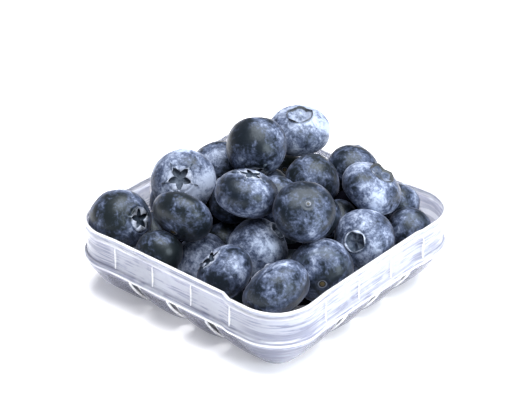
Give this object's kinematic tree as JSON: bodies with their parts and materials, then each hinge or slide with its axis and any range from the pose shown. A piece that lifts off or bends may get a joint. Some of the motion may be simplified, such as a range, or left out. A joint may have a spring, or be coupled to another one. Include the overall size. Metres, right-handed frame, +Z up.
{
  "type": "punnet of blueberries",
  "caption": "Small square clear plastic punnet with a ribbed wall, stacking flange and slotted tub, heaped above its lip with large ripe blueberries.",
  "frame": {"origin": "middle of the punnet's foot, on the surface it stands on", "axes": "+Z up; X and Y along the punnet's sides"},
  "size_m": [0.092, 0.092, 0.0496],
  "materials": {
    "punnet_plastic": "thin clear thermoformed plastic that reads pale, glossy, with a faint lavender tint",
    "berry_skin": "dark navy fruit skin under a patchy, pale blue waxy bloom"
  },
  "bodies": {
    "root": {"punnet": "punnet_plastic", "berries": "berry_skin"}
  },
  "joints": []
}
